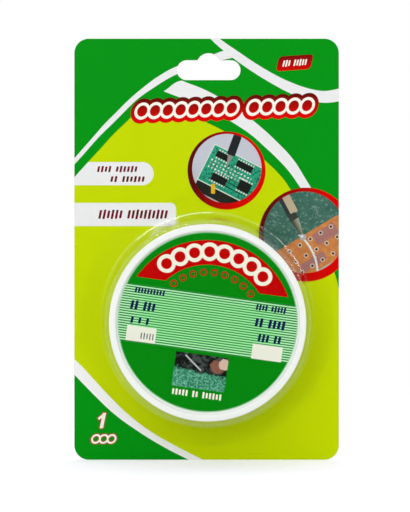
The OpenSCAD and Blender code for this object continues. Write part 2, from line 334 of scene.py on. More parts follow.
def drill(piece, holes, low, high):
    """Cuts round holes, each (right, up, radius) in reel coordinates, between two heights."""
    tools = []
    for right, up, radius in holes:
        tool = lathe("drill", [(0, low), (radius, low), (radius, high), (0, high)], steps=48, closed=False)
        tool.location = (right * MM, 0.0, up * MM)
        cut = piece.modifiers.new("hole", "BOOLEAN")
        cut.operation, cut.solver, cut.object = "DIFFERENCE", "EXACT", tool
        tools.append(tool)
    evaluated = piece.evaluated_get(bpy.context.evaluated_depsgraph_get())
    cut_mesh = bpy.data.meshes.new_from_object(evaluated)
    piece.modifiers.clear()
    piece.data = cut_mesh
    for tool in tools:
        bpy.data.objects.remove(tool)
    cut_mesh.shade_smooth()
    cut_mesh.set_sharp_from_angle(angle=CRISP)


def coat(piece, material):
    piece.data.materials.clear()
    piece.data.materials.append(material)


def finish_piece(piece, material, body, slot, *nodes):
    """Gives a new piece its material and its body, and hides the CAD nodes it stands for."""
    coat(piece, material)
    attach(piece, body)
    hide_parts(*nodes)


# ---------------- node arithmetic


def node_methods(operation):
    """The method that adds one Math node, and its reflected form, which has the level second."""

    def plain(self, other):
        return self.recipe.math(operation, self, other)

    def reflected(self, other):
        return self.recipe.math(operation, other, self)

    return plain, reflected


class Level:
    """A number that changes over a surface. Python arithmetic on it adds Math nodes."""

    def __init__(self, recipe, socket):
        self.recipe, self.socket = recipe, socket

    __add__, __radd__ = node_methods("ADD")
    __sub__, __rsub__ = node_methods("SUBTRACT")
    __mul__, __rmul__ = node_methods("MULTIPLY")
    __truediv__, __rtruediv__ = node_methods("DIVIDE")
    or_more, _ = node_methods("MAXIMUM")
    or_less, _ = node_methods("MINIMUM")

    def __neg__(self):
        return self.recipe.math("MULTIPLY", self, -1.0)

    def __abs__(self):
        return self.recipe.math("ABSOLUTE", self)

    def floor(self):
        return self.recipe.math("FLOOR", self)

    def wrapped(self, period):
        """Repeats the level over one period centred on zero."""
        return self.recipe.math("WRAP", self, period / 2, -period / 2)

    def clamped(self):
        return self.recipe.math("MULTIPLY", self, 1.0, clamp=True)

    def inside(self, soft=0.07):
        """Mask of a signed distance in millimetres: 1 where it is negative, with an edge this soft."""
        return self.recipe.math("MULTIPLY_ADD", self, -1 / soft, 0.5, clamp=True)


def together(shapes):
    """Signed distance of several shapes taken as one: the least of theirs."""
    return reduce(Level.or_less, shapes)


class Plane:
    """Two levels in millimetres, u to the right and v upwards, on which print shapes are measured."""

    def __init__(self, u, v):
        self.u, self.v, self.recipe = u, v, u.recipe

    def at(self, u, v, turn=0.0, lean=0.0):
        """The plane from a new origin, turned by degrees, its uprights leaning right by a share."""
        a = math.radians(turn)
        du, dv = self.u - u, self.v - v
        if turn:
            du, dv = du * math.cos(a) + dv * math.sin(a), dv * math.cos(a) - du * math.sin(a)
        return Plane(du - dv * lean if lean else du, dv)

    def away(self):
        return self.recipe.reach(self.u, self.v)

    def disc(self, radius):
        return self.away() - radius

    def ring(self, radius, stroke):
        return abs(self.away() - radius) - stroke / 2

    def block(self, width, height, rounding=0.0):
        """Signed distance of a rectangle, or of one with round corners: how far a point lies past the inner
        rectangle that is smaller by the rounding, less the rounding."""
        du, dv = abs(self.u) - (width / 2 - rounding), abs(self.v) - (height / 2 - rounding)
        if not rounding:
            return du.or_more(dv)
        return self.recipe.reach(du.or_more(0.0), dv.or_more(0.0)) - rounding

    def tiled(self, pitch_u, pitch_v):
        return Plane(self.u.wrapped(pitch_u), self.v.wrapped(pitch_v))

    def ticks(self, words, pitch, height, lean=0.0, fill=0.58):
        """Signed distance of a row of short round-cornered strokes of uneven height, which stands for text.

        The row starts at u = 0 and every stroke has a cell of one pitch. A word is (first cell, cell count).
        """
        upright = self.u - self.v * lean if lean else self.u
        cell = (upright / pitch).floor()
        uneven = self.recipe.math("SINE", cell * 2.3) * 0.1 + 0.9
        corner = 0.3 * fill * pitch
        across = abs(upright - (cell + 0.5) * pitch) - (fill * pitch / 2 - corner)
        along = abs(self.v) - (uneven * (height / 2) - corner)
        stroke = self.recipe.reach(across.or_more(0.0), along.or_more(0.0)) - corner
        outside = together(abs(cell + (0.5 - first - count / 2)) - count / 2 for first, count in words)
        return stroke.or_more(outside * 4.0)

    def text(self, rows, lean, fill=0.58):
        """Rows of strokes taken as one shape, each (left, v, words, pitch, height)."""
        return together(self.at(left, v).ticks(*row, lean, fill) for left, v, *row in rows)

    def coil(self, spacing, count, radius, stroke):
        """Chain of overlapping rings along u: signed distances of its stroke and of its centres.

        The two rings that can reach a point are the ones whose centres lie either side of it, kept within the
        chain's ends.
        """
        cell = (self.u / spacing).floor()
        near = [
            Plane(self.u - (cell + k).or_more(0.0).or_less(count - 1.0) * spacing, self.v).away()
            for k in (0.0, 1.0)
        ]
        rings = [abs(n - radius) - stroke / 2 for n in near]
        return rings[0].or_less(rings[1]), near[0].or_less(near[1])


class Recipe:
    """A node tree that is filled from Python."""

    def __init__(self, tree):
        self.tree = tree
        tree.nodes.clear()

    def add(self, kind, settings=(), inputs=()):
        """Adds a node: its settings first, then its sockets by name or place, as links or plain values."""
        node = self.tree.nodes.new(kind)
        for key, value in dict(settings).items():
            setattr(node, key, value)
        for key, value in inputs.items() if isinstance(inputs, dict) else enumerate(inputs):
            value = getattr(value, "socket", value)
            if isinstance(value, bpy.types.NodeSocket):
                self.tree.links.new(value, node.inputs[key])
            else:
                node.inputs[key].default_value = value
        return node

    def math(self, operation, *values, clamp=False):
        node = self.add("ShaderNodeMath", {"operation": operation, "use_clamp": clamp}, values)
        return Level(self, node.outputs[0])

    def reach(self, u, v):
        """Distance from the origin: the length of the vector (u, v, 0)."""
        flat = self.add("ShaderNodeCombineXYZ", (), (u, v))
        node = self.add("ShaderNodeVectorMath", {"operation": "LENGTH"}, (flat.outputs[0],))
        return Level(self, node.outputs["Value"])

    def place(self):
        """Object coordinates in millimetres, as one vector socket and as three levels."""
        source = self.add("ShaderNodeTexCoord")
        scaled = self.add(
            "ShaderNodeVectorMath", {"operation": "SCALE"}, {0: source.outputs["Object"], "Scale": 1 / MM}
        )
        split = self.add("ShaderNodeSeparateXYZ", (), {0: scaled.outputs[0]})
        return scaled.outputs[0], [Level(self, s) for s in split.outputs]

    def seen(self):
        """1 on the rays that show a surface: from the camera, off gloss and through clear pieces."""
        rays = self.add("ShaderNodeLightPath").outputs
        camera, gloss, through = (
            Level(self, rays[f"Is {kind} Ray"]) for kind in ("Camera", "Glossy", "Transmission")
        )
        return camera.or_more(gloss).or_more(through)

    def noise(self, vector, scale, detail=3.0, roughness=0.5):
        inputs = {"Vector": vector, "Scale": scale, "Detail": detail, "Roughness": roughness}
        return Level(self, self.add("ShaderNodeTexNoise", (), inputs).outputs["Fac"])

    @staticmethod
    def tone(source):
        """Value of a colour input from a name in TONES, a plain colour or a socket."""
        if isinstance(source, bpy.types.NodeSocket):
            return source
        return (*(shade(TONES[source]) if isinstance(source, str) else source)[:3], 1.0)

    def lay(self, under, over, mask):
        """Colour with another laid over it where the mask is 1."""
        inputs = {0: mask, 6: self.tone(under), 7: self.tone(over)}
        return self.add("ShaderNodeMix", {"data_type": "RGBA"}, inputs).outputs[2]

    def toned(self, base, level):
        """Colour multiplied by a level."""
        grey = self.add("ShaderNodeCombineXYZ", (), (level, level, level))
        settings = {"data_type": "RGBA", "blend_type": "MULTIPLY"}
        return self.add("ShaderNodeMix", settings, {0: 1.0, 6: base, 7: grey.outputs[0]}).outputs[2]

    def curve(self, level, points, x_range, z_range):
        """Height of a smooth line through points, read at a level."""
        (x0, x1), (z0, z1) = x_range, z_range
        node = self.add("ShaderNodeFloatCurve", (), {"Value": (level - x0) / (x1 - x0)})
        line = node.mapping.curves[0]
        for _ in points[2:]:
            line.points.new(0.5, 0.5)
        for knot, (x, z) in zip(line.points, points):
            knot.location = (x - x0) / (x1 - x0), (z - z0) / (z1 - z0)
        node.mapping.update()
        return Level(self, node.outputs[0]) * (z1 - z0) + z0

    def print_over(self, paint, layers):
        """Lays each (tone, signed distance) shape over a colour in turn."""
        for tone, shape in layers:
            paint = self.lay(paint, tone, shape.inside())
        return paint

    def bump(self, height, distance, strength):
        inputs = {"Height": height, "Distance": distance * MM, "Strength": strength}
        return self.add("ShaderNodeBump", (), inputs).outputs[0]

    def shader(self, kind, **sockets):
        """A shader node's output. A socket is named with an underline for its space."""
        inputs = {name.replace("_", " "): value for name, value in sockets.items()}
        return self.add(f"ShaderNode{kind}", (), inputs).outputs[0]

    def mixed(self, share, first, second):
        return self.add("ShaderNodeMixShader", (), (share, first, second)).outputs[0]

    def surface(self, shader):
        self.add("ShaderNodeOutputMaterial", (), {"Surface": shader})

    def dress(self, **sockets):
        self.surface(self.shader("BsdfPrincipled", **sockets))


def new_material(name):
    material = bpy.data.materials.new(name)
    material.use_nodes = True
    return material, Recipe(material.node_tree)


# ---------------- printed card

# Lines of the card's print as (x, z) in the frame, left to right.
UPPER_BAND_TOP = [
    (-47.2, -37.4), (-45.5, -35.6), (-42.6, -32.3), (-39.0, -28.2), (-35.5, -24.2), (-31.4, -20.1),
    (-27.3, -16.0), (-22.5, -11.9), (-17.1, -7.9), (-10.8, -4.5), (-5.3, -2.9), (0.7, -0.9), (4.5, 0.6),
    (9.0, 0.9),
]
UPPER_BAND_FOOT = [
    (-47.2, -39.5), (-44.3, -36.4), (-40.7, -32.3), (-37.0, -28.2), (-32.9, -24.2), (-28.8, -20.1),
    (-24.6, -16.0), (-18.9, -11.9), (-12.1, -7.8), (-6.4, -5.4), (-1.2, -3.7), (4.1, -2.5), (9.0, -1.4),
]
RIGHT_BAND_TOP = [
    (-1.2, 9.2), (1.1, 7.0), (4.4, 4.4), (10.2, 0.4), (16.3, -3.7), (23.4, -7.8), (27.9, -9.9),
    (32.8, -11.7), (36.5, -12.6), (39.6, -12.9), (42.0, -12.6), (45.7, -11.7),
]
RIGHT_BAND_FOOT = [
    (-2.9, 8.9), (-1.2, 6.8), (1.1, 4.4), (3.2, 2.4), (8.3, -1.7), (14.1, -5.8), (20.7, -9.9),
    (26.7, -13.2), (31.1, -15.2), (34.5, -16.3), (37.9, -16.8), (40.6, -16.9), (45.7, -16.1),
]
TAPERED_BAND_TOP = [
    (-17.2, -14.1), (-15.3, -13.0), (-9.2, -9.4), (-7.9, -9.9), (-2.6, -11.9), (1.5, -13.9), (9.3, -18.6),
    (16.6, -24.2), (23.3, -30.3), (28.9, -36.4), (32.8, -42.5), (35.5, -47.0), (37.2, -50.0),
]
TAPERED_BAND_FOOT = [
    (-17.2, -12.2), (-15.3, -13.0), (-8.1, -15.8), (1.5, -19.9), (9.1, -24.2), (14.9, -28.2),
    (19.5, -32.3), (23.8, -36.4), (27.5, -40.5), (30.4, -44.6), (33.1, -48.7),
]
FIELD_TOP = [
    (-47.2, -43.9), (-44.1, -40.5), (-40.4, -36.4), (-36.6, -32.3), (-32.9, -28.2), (-28.8, -24.2),
    (-24.7, -20.4), (-20.6, -18.1), (-16.6, -17.5), (-8.4, -20.1), (0.5, -24.2), (4.5, -26.2), (13.1, -31.5),
    (19.0, -36.4), (25.1, -42.5), (28.0, -46.6), (32.8, -53.4), (37.9, -63.0), (42.5, -73.7), (45.0, -83.4),
]
FIELD_FOOT = [
    (-47.2, -102.8), (-43.3, -106.5), (-38.3, -112.0), (-33.2, -117.4), (-27.5, -122.9), (-20.5, -128.3),
    (-11.1, -133.8), (-1.9, -138.4), (2.2, -140.2),
]
LOWER_BAND_FOOT = [
    (-47.2, -107.9), (-43.3, -112.0), (-38.0, -117.4), (-32.1, -122.9), (-24.7, -128.3), (-15.8, -133.8),
    (-6.9, -138.4), (-3.2, -140.2),
]


def red_fade(recipe, settings, level):
    """Red that goes from dark to bright as the level goes from 0 to 1."""
    return recipe.lay(settings.dark_red, settings.red, level.clamped())


def card_swoops(recipe, settings, page):
    """Green ground, lime field, pale bands and the two text panels."""

    def under(points):
        return page.v - recipe.curve(page.u, points, (-50.0, 50.0), (-145.0, 15.0))

    def band(top, foot):
        return under(top).or_more(-under(foot))

    field_top = under(FIELD_TOP)
    slot_side = 8.6
    panel_width, panel_height = 40.0, 7.9
    bands = (
        band(UPPER_BAND_TOP, UPPER_BAND_FOOT).or_more(page.u - slot_side),
        band(RIGHT_BAND_TOP, RIGHT_BAND_FOOT),
        band(TAPERED_BAND_TOP, TAPERED_BAND_FOOT),
        page.at(-38.75, -41.05).block(panel_width, panel_height, 3.9).or_more(field_top),
        page.at(-31.1, -54.95).block(panel_width, panel_height, 1.9),
    )
    layers = (
        (settings.field, field_top.or_more(-under(FIELD_FOOT))),
        (settings.band, together(bands)),
        # Painted light: the lower band is laid a shade lighter than the other bands, making up for the weaker
        # light at the card's lower left.
        ("lower_band_lit", band(FIELD_FOOT, LOWER_BAND_FOOT)),
    )
    return recipe.print_over(settings.ground, layers)


def assembly_badge(recipe, settings, page, vector, paint):
    """Round badge with a green circuit board on a grey ground."""
    spot = page.at(6.1, -40.0)
    fade = spot.u * 0.065 + spot.v * -0.01 + 0.66
    paint = recipe.lay(paint, red_fade(recipe, settings, fade), spot.disc(13.3).inside())
    tilt = -27.0
    board = spot.at(1.8, -1.4, turn=tilt)
    stand = spot.at(0.4, -4.6, turn=tilt)
    track = (abs(board.v.wrapped(1.5)) - 0.18).or_more(board.at(0.4, -3.7).block(14.0, 4.4))
    pads = board.at(0.4, 0.3).tiled(1.25, 1.25).disc(0.34).or_more(board.at(-1.0, 0.4).block(15.2, 3.6))
    layers = (
        ("stand", stand.block(19.6, 13.6, 1.2)),
        ("board_edge", board.block(20.0, 13.6, 0.5)),
        ("board", board.block(19.4, 13.0, 0.4)),
        ("track", track),
        ("pad", pads),
    )
    picture = recipe.print_over(recipe.lay("wall", "wall_foot", spot.v * -0.05 + 0.2), layers)
    shine = recipe.noise(vector, 1.4, 2.0, 0.7)
    specks = ((0.56 - shine) * 4.0).or_more(board.block(18.6, 12.2))
    picture = recipe.lay(picture, "board_speck", specks.inside(0.6) * 0.75)
    chips = ((-5.4, 4.2, 5.2, 2.2), (2.6, 4.4, 6.0, 2.2), (5.6, -1.8, 4.4, 3.6), (-3.2, -3.4, 5.6, 2.6))
    for u, v, width, height in chips:
        chip = board.at(u, v)
        pins = (abs(chip.u.wrapped(0.95)) - 0.25).or_more(chip.block(width, height + 1.2))
        picture = recipe.print_over(picture, (("pin", pins), ("chip", chip.block(width, height, 0.2))))
    iron = spot.at(1.4, 5.2, turn=-20.0)
    tip_length = 4.4
    taper = (abs(iron.u) - (iron.v + tip_length) * 0.22).or_more(iron.v).or_more(-tip_length - iron.v)
    layers = (
        ("capacitor", spot.at(-4.6, -6.2).block(1.4, 3.4, 0.4)),
        ("iron", iron.at(0.0, 3.6).block(2.9, 7.6, 0.9)),
        ("iron_tip", taper),
    )
    picture = recipe.print_over(picture, layers)
    return recipe.lay(paint, picture, spot.at(0.1, 0.7).disc(11.8).inside())


def repair_badge(recipe, settings, page, vector, paint):
    """Round badge with an orange strip board and a bead of solder on a dark teal ground."""
    spot = page.at(33.1, -61.8)
    fade = spot.u * 0.055 + spot.v * -0.005 + 0.7
    paint = recipe.lay(paint, red_fade(recipe, settings, fade), spot.disc(16.0).inside())
    picture = recipe.lay("bench", "bench_light", recipe.noise(vector, 0.35, 4.0, 0.6))
    flecks = ((0.6 - recipe.noise(vector, 1.1, 2.0, 0.6)) * 6.0).inside(0.5)
    picture = recipe.lay(picture, "bench_fleck", flecks * 0.5)
    strip = spot.at(3.6, -5.0, turn=31.0)
    layers = (
        ("strip_shadow", strip.at(0.8, -1.9).block(25.0, 14.4, 0.8)),
        ("strip_edge", strip.at(0.2, -0.9).block(25.0, 13.6, 0.8)),
    )
    picture = recipe.print_over(picture, layers)
    wear = (recipe.noise(vector, 0.7, 4.0, 0.65) - 0.35) * 2.2
    face = recipe.lay("strip", "strip_worn", wear)
    picture = recipe.lay(picture, face, strip.block(24.6, 12.8, 0.6).inside())
    lands = strip.at(5.4, 2.9).block(8.6, 4.2, 0.5).or_less(strip.at(-3.2, -3.1).block(9.6, 3.0, 0.5))
    picture = recipe.lay(picture, "land", lands.inside(0.2) * 0.8)
    grid = strip.tiled(4.1, 4.1)
    drilled = strip.block(22.2, 11.6)
    thread = spot.at(-13.5, -13.5)
    iron = spot.at(-1.0, -0.4, turn=28.0)
    layers = (
        ("hole_ring", grid.ring(0.62, 0.34).or_more(drilled)),
        ("hole", grid.disc(0.4).or_more(drilled)),
        ("strand", thread.ring(17.5, 0.7).or_more(-thread.u).or_more(thread.v - 13.4).or_more(-thread.v)),
        ("handle", iron.at(0.5, 13.0).block(4.0, 9.6, 0.4)),
        ("handle_side", iron.at(-0.9, 12.4).block(1.4, 9.6, 0.2)),
        ("collar", iron.at(0.0, 7.2).block(3.0, 2.6, 0.4)),
    )
    picture = recipe.print_over(picture, layers)
    tip = (abs(iron.u) - (iron.v * 0.2 + 0.3)).or_more(iron.v - 6.2).or_more(-iron.v)
    steel = recipe.lay("tip_dark", "tip_light", iron.u * 0.6 + 0.4)
    picture = recipe.lay(picture, steel, tip.inside())
    bead = spot.at(-1.0, -0.9)
    picture = recipe.lay(picture, "bead", bead.disc(1.1).inside())
    picture = recipe.lay(picture, "bead_glint", bead.at(-0.3, 0.3).disc(0.35).inside(0.4))
    return recipe.lay(paint, picture, spot.at(-0.4, 0.8).disc(13.9).inside())


def card_motifs(recipe, settings, page, paint):
    """Title coil, corner flash, the numeral over its small coil, and the strokes that stand for text."""
    title_u, title_v, climb, slant = 5.6, -18.8, 1.9, 0.2
    fade = page.at(title_u, title_v, turn=climb).v * -0.14 + 0.55
    rings, centres = [], []
    # Measured this much wider than they are, the rings come out as narrow ovals.
    narrow = 1.1
    for left, spacing, count in ((-22.6, 4.36, 8), (15.4, 4.53, 5)):
        foot = title_v + math.tan(math.radians(climb)) * (left - title_u)
        chain = page.at(left, foot, turn=climb, lean=slant)
        ring, centre = Plane(chain.u * narrow, chain.v).coil(spacing * narrow, count, 2.4, 1.0)
        rings.append(ring)
        centres.append(centre)
    backing = together(centres) - 4.3
    paint = recipe.lay(paint, red_fade(recipe, settings, fade), backing.inside())
    paint = recipe.lay(paint, settings.white, together(rings).inside())
    flash = page.at(29.3, -3.3, turn=4.0, lean=0.3)
    flash_red = red_fade(recipe, settings, flash.v * -0.16 + 0.5)
    paint = recipe.lay(paint, flash_red, flash.block(11.8, 5.0, 1.3).inside())
    rows = (
        (-38.1, -39.5, ((0, 4), (5, 6)), 1.27, 2.2),
        (-33.6, -42.9, ((0, 2), (3, 6)), 1.33, 2.1),
        (-37.6, -54.9, ((0, 6), (7, 10)), 1.4, 3.3),
    )
    stem = page.at(-36.0, -125.1, lean=0.21).block(1.2, 5.3, 0.15)
    flag = page.at(-36.65, -123.85, turn=40.0).block(2.4, 0.85, 0.2)
    small_coil, _ = page.at(-38.35, -131.35, lean=slant).coil(2.65, 3, 1.33, 0.7)
    count = together((stem, flag, small_coil))
    layers = (
        (settings.white, flash.at(-4.2, 0.0).ticks(((0, 3), (4, 5)), 0.94, 2.3)),
        (settings.ink, page.text(rows, slant)),
        ("numeral_edge", count - 0.3),
        (settings.white, count),
    )
    return recipe.print_over(paint, layers)


def printed_board(settings):
    """Glossy printed face, on a raw board that shows on the back and at the cut edges.

    The raw board has short fibres, two sets of longer strands that cross, the plies at its edge and the faint
    ring that the blister's seal presses into it.
    """
    material, recipe = new_material("printed_board")
    vector, (x, y, z) = recipe.place()
    page = Plane(x, z)
    paint = card_swoops(recipe, settings, page)
    paint = assembly_badge(recipe, settings, page, vector, paint)
    paint = repair_badge(recipe, settings, page, vector, paint)
    paint = card_motifs(recipe, settings, page, paint)
    film = 0.01
    face = (y - (CARD_FACE_Y + film)).inside(film)
    fibre = recipe.noise(vector, 1.6, 4.0, 0.6)
    cloud = recipe.noise(vector, 0.05, 2.0)
    paint = recipe.toned(paint, cloud * 0.06 + 0.97)
    raw = recipe.lay(settings.board, "board_fibre", (fibre - 0.5) * 1.2 + 0.2)
    for across, along, tone in ((0.25, 1.5, "dark_strand"), (1.4, 0.3, "pale_strand")):
        stretched = recipe.add("ShaderNodeCombineXYZ", (), (x * across, y, z * along + x * 0.2))
        strands = recipe.noise(stretched.outputs[0], 1.3, 2.0, 0.6)
        raw = recipe.lay(raw, tone, ((0.62 - strands) * 8.0).inside(0.8) * 0.5)
    seal_inset, seal_width = 3.6, 5.6
    seal = page.at(AXIS_X, AXIS_Z).ring(FLANGE_R - seal_inset, seal_width).inside(0.6)
    raw = recipe.toned(raw, 1.0 - seal * 0.07)
    ply = 0.12
    plies = recipe.math("SINE", y * (2 * math.pi / ply)) * 0.05 + 1.0
    recipe.dress(
        Base_Color=recipe.lay(recipe.toned(raw, plies), paint, face),
        Roughness=face * -0.44 + 0.82 + fibre * 0.06,
        Specular_IOR_Level=0.02,
        Normal=recipe.bump(fibre, 0.02, 0.5),
    )
    return material


# ---------------- printed label


def label_picture(recipe, panel, vector):
    """Small panel: a bare board with a ragged edge, a rod and two warm parts on a dark ground."""
    speck = recipe.noise(vector, 1.7, 3.0, 0.7)
    blot = recipe.noise(vector, 0.55, 3.0, 0.6)
    backdrop = recipe.lay("dark", "dark_light", ((0.55 - blot) * 6.0).inside(0.8))
    light = ((0.55 - speck) * 8.0).inside(1.0) * 0.7
    board = recipe.lay("bare_board", "bare_board_light", light)
    board = recipe.lay(board, "bare_board_dark", ((speck - 0.45) * 8.0).inside(1.0) * 0.7)
    ragged = (blot - 0.5) * 5.0 + (speck - 0.5) * 2.0
    picture = recipe.lay(backdrop, board, (panel.v + 0.3 + panel.u * 0.1 + ragged).inside(0.3))
    rod = panel.at(-2.6, 2.6, turn=-38.0).block(7.2, 0.5, 0.2)
    picture = recipe.lay(picture, "rod", rod.inside())
    warm = panel.at(5.4, 2.2).disc(2.3) + ragged * 0.4
    picture = recipe.lay(picture, recipe.lay("brown", "brown_light", speck), warm.inside(0.2))
    pale = panel.at(7.3, 3.3).block(3.0, 3.6, 1.2) + ragged * 0.3
    return recipe.lay(picture, "pink", pale.inside(0.2))


def printed_label(settings):
    """Round paper label: arched banner with a coil, pinstripe band with empty boxes, and a small panel.

    Places on the arch are the angle round its centre times a radius, and the distance beyond that radius. The
    pinstripes are a wave of their pitch, and their two tones part further towards the band's edges.
    """
    material, recipe = new_material("label_paper")
    vector, (x, y, z) = recipe.place()
    disc = Plane(x, z).at(AXIS_X, LABEL_Z, turn=-math.degrees(settings.turn))
    arch = disc.at(0.0, -1.4)
    radius = arch.away()
    angle = recipe.math("ARCTAN2", arch.u, arch.v)

    def on_arch(r):
        return Plane(angle * r, radius - r)

    banner = (abs(radius - 24.0) - 4.0).or_more(11.5 - disc.v)
    rings, _ = on_arch(24.2).at(-17.15, 0.0).coil(4.9, 8, 2.4, 1.25)
    small = on_arch(17.6)
    small_rings = Plane(small.u.wrapped(3.5), small.v).ring(0.95, 0.5).or_more(abs(small.u) - 15.75)
    layers = ((settings.banner, banner), (settings.motif, rings), ("small_rings", small_rings))
    paint = recipe.print_over(settings.ground, layers)

    middle = disc.at(0.0, -0.3)
    wave = abs(middle.v.wrapped(0.8))
    crisp = ((abs(middle.u) - 20.0) / 8.0).or_more((abs(middle.v) - 6.5) / 3.0).clamped()
    pale = recipe.lay(settings.stripe, "crisp_stripe", crisp)
    dark = recipe.lay(settings.line, "crisp_line", crisp)
    lined = recipe.lay(dark, pale, (wave + crisp * 0.025 - 0.22).inside(0.06))
    paint = recipe.lay(paint, lined, (abs(middle.v) - 9.4).inside())
    rows = (
        (-24.9, 7.3, ((0, 10),), 1.0, 1.9),
        (-25.7, 2.35, ((0, 2), (3, 3)), 1.4, 3.1),
        (-25.0, -2.5, ((0, 1), (2, 1), (4, 1)), 1.25, 2.4),
        (14.8, 7.0, ((0, 4), (5, 5)), 1.0, 2.1),
        (15.1, 2.1, ((0, 2), (3, 4)), 1.45, 3.1),
        (16.7, -2.8, ((0, 3), (4, 2)), 1.3, 2.8),
    )
    boxes = disc.at(-20.85, -6.9).block(9.6, 4.9).or_less(disc.at(20.4, -7.3).block(9.8, 4.9))
    layers = (
        (settings.box, boxes),
        (settings.ink, disc.text(rows, lean=0.1, fill=0.64)),
        ("grey_ink", disc.at(-21.2, -7.3).ticks(((0, 5),), 0.95, 2.2, fill=0.36)),
    )
    paint = recipe.print_over(paint, layers)
    panel = disc.at(-0.2, -16.3)
    paint = recipe.lay(paint, label_picture(recipe, panel, vector), panel.block(17.2, 11.2, 0.3).inside())
    foot_text = disc.at(-8.6, -23.7).ticks(((0, 5), (6, 2), (9, 6)), 1.1, 2.1)
    paint = recipe.lay(paint, settings.motif, foot_text.inside())

    rim_width, film = 0.35, 0.02
    rim = (LABEL_R - rim_width) - disc.away()
    front = (y - (label_low[1] + film)).inside(film)
    paint = recipe.lay(paint, "label_rim", rim.inside(0.1) * 0.8)
    paint = recipe.lay("paper", paint, front)
    fibre = recipe.noise(vector, 2.2, 4.0, 0.6)
    recipe.dress(
        Base_Color=recipe.toned(paint, fibre * 0.05 + 0.975),
        Roughness=fibre * 0.08 + 0.5,
        Specular_IOR_Level=0.02,
        Normal=recipe.bump(fibre, 0.015, 0.2),
    )
    return material


# ---------------- plain finishes


def moulded_white(settings):
    """Satin moulded plastic with faint flow marks and a fine grain."""
    material, recipe = new_material("white_plastic")
    vector, _ = recipe.place()
    flow = recipe.noise(vector, 0.09, 3.0)
    grain = recipe.noise(vector, 2.4, 3.0, 0.55)
    recipe.dress(
        Base_Color=recipe.toned(recipe.lay(settings.plastic, "flow_mark", flow), grain * 0.03 + 0.985),
        Roughness=grain * 0.12 + 0.32,
        Specular_IOR_Level=0.4,
        Normal=recipe.bump(grain, 0.02, 0.4),
    )
    return material


def drawn_solder(settings):
    """Soft grey metal with the fine lines that the drawing die leaves along the wire."""
    material, recipe = new_material("solder")
    vector, (x, y, z) = recipe.place()
    radius = recipe.reach(x - AXIS_X, z - AXIS_Z)
    angle = recipe.math("ARCTAN2", z - AXIS_Z, x - AXIS_X)
    lengthwise = recipe.add("ShaderNodeCombineXYZ", (), (radius, y, angle * 0.8))
    lines = recipe.noise(lengthwise.outputs[0], 7.0, 3.0, 0.6)
    tarnish = recipe.noise(vector, 0.3, 4.0, 0.6)
    tone = recipe.lay(settings.solder, "tarnish", (tarnish - 0.45) * 1.6)
    recipe.dress(
        Base_Color=recipe.toned(tone, lines * 0.2 + 0.9),
        Metallic=1.0,
        Roughness=lines * 0.16 + tarnish * 0.18 + 0.16,
        Normal=recipe.bump(lines, 0.02, 0.6),
    )
    return material


def rosin_core(settings):
    """Amber rosin with small bubbles."""
    material, recipe = new_material("rosin_flux")
    vector, _ = recipe.place()
    grain = recipe.noise(vector, 9.0, 3.0)
    recipe.dress(
        Base_Color=recipe.lay(settings.rosin, "dark_rosin", grain),
        Roughness=grain * 0.2 + 0.15,
        Normal=recipe.bump(grain, 0.02, 0.4),
    )
    return material


def clear_sheet(settings):
    """Clear formed sheet: a sheen that grows towards grazing views, and a milky bloom where it is drawn thin.

    The bloom starts past the rim of the reel, fades from its full height down the wall to its bare height and
    is made strongest at the top and at the foot of the pack, where it is partly painted sheen. The fold is
    the bend at the dome's foot.
    """
    material, recipe = new_material("clear_sheet")
    vector, (x, y, z) = recipe.place()
    facing = Level(recipe, recipe.add("ShaderNodeLayerWeight", (), {"Blend": 0.5}).outputs["Facing"])
    haze = recipe.noise(vector, 0.06, 3.0)
    ripple = recipe.noise(vector, 0.05, 2.0)
    radius = recipe.reach(x - AXIS_X, z - AXIS_Z)
    upright = abs(z - AXIS_Z) / radius
    past_rim = radius - REEL_R
    height = CARD_FACE_Y - y
    fade_width, bare_height, full_height = 1.2, 5, 18
    climb = 1 / (full_height - bare_height)
    drawn = recipe.math("MULTIPLY_ADD", past_rim, 1.6, 0.9, clamp=True)
    drawn = drawn * (1.0 - (past_rim / fade_width).clamped() * 0.7)
    drawn = drawn * recipe.math("MULTIPLY_ADD", height, climb, -bare_height * climb, clamp=True)
    # Partly painted sheen: the bloom of the drawn sheet is raised at the top and foot of the pack and lowered
    # at the sides, standing in for the light the wall catches there.
    bloom_and_sheen = drawn * (haze * 0.11 + 0.03) * (upright * 0.75 + 0.25)
    fold_place, fold_width = 4.4, 1.0
    fold = (abs(past_rim - fold_place) - fold_width / 2).inside(0.3) * upright
    least_mirror = 0.00045
    mirror = facing * facing * 0.24 + fold * 0.022 + least_mirror
    share = mirror + bloom_and_sheen
    metal = mirror / share
    film = recipe.shader(
        "BsdfPrincipled",
        Base_Color=recipe.lay(settings.bloom_and_sheen, settings.tint, metal),
        Metallic=metal,
        Roughness=haze * 0.03 + 0.03,
        Normal=recipe.bump(ripple, 0.5, 0.3),
    )
    recipe.surface(recipe.mixed(share, recipe.shader("BsdfTransparent", Color=WHITE), film))
    return material


def bright_floor(settings):
    """White floor. Where it is seen, it glows under its shadows, and fades to even white past the card."""
    material, recipe = new_material("floor")
    shown_tint, shown_glow, near_radius = (0.72, 0.705, 0.77), 0.42, 120
    plain = recipe.shader("BsdfDiffuse", Color=recipe.tone(settings.floor))
    soft = recipe.shader("BsdfDiffuse", Color=recipe.tone(shown_tint))
    glow = recipe.shader("Emission", Color=WHITE, Strength=shown_glow)
    near = recipe.add("ShaderNodeAddShader", (), (soft, glow)).outputs[0]
    _, (x, y, _) = recipe.place()
    beyond = recipe.math("MULTIPLY_ADD", recipe.reach(x, y), 1 / near_radius, -1.0, clamp=True)
    shown = recipe.mixed(beyond, near, recipe.shader("Emission", Color=WHITE, Strength=1.0))
    recipe.surface(recipe.mixed(recipe.seen(), plain, shown))
    return material


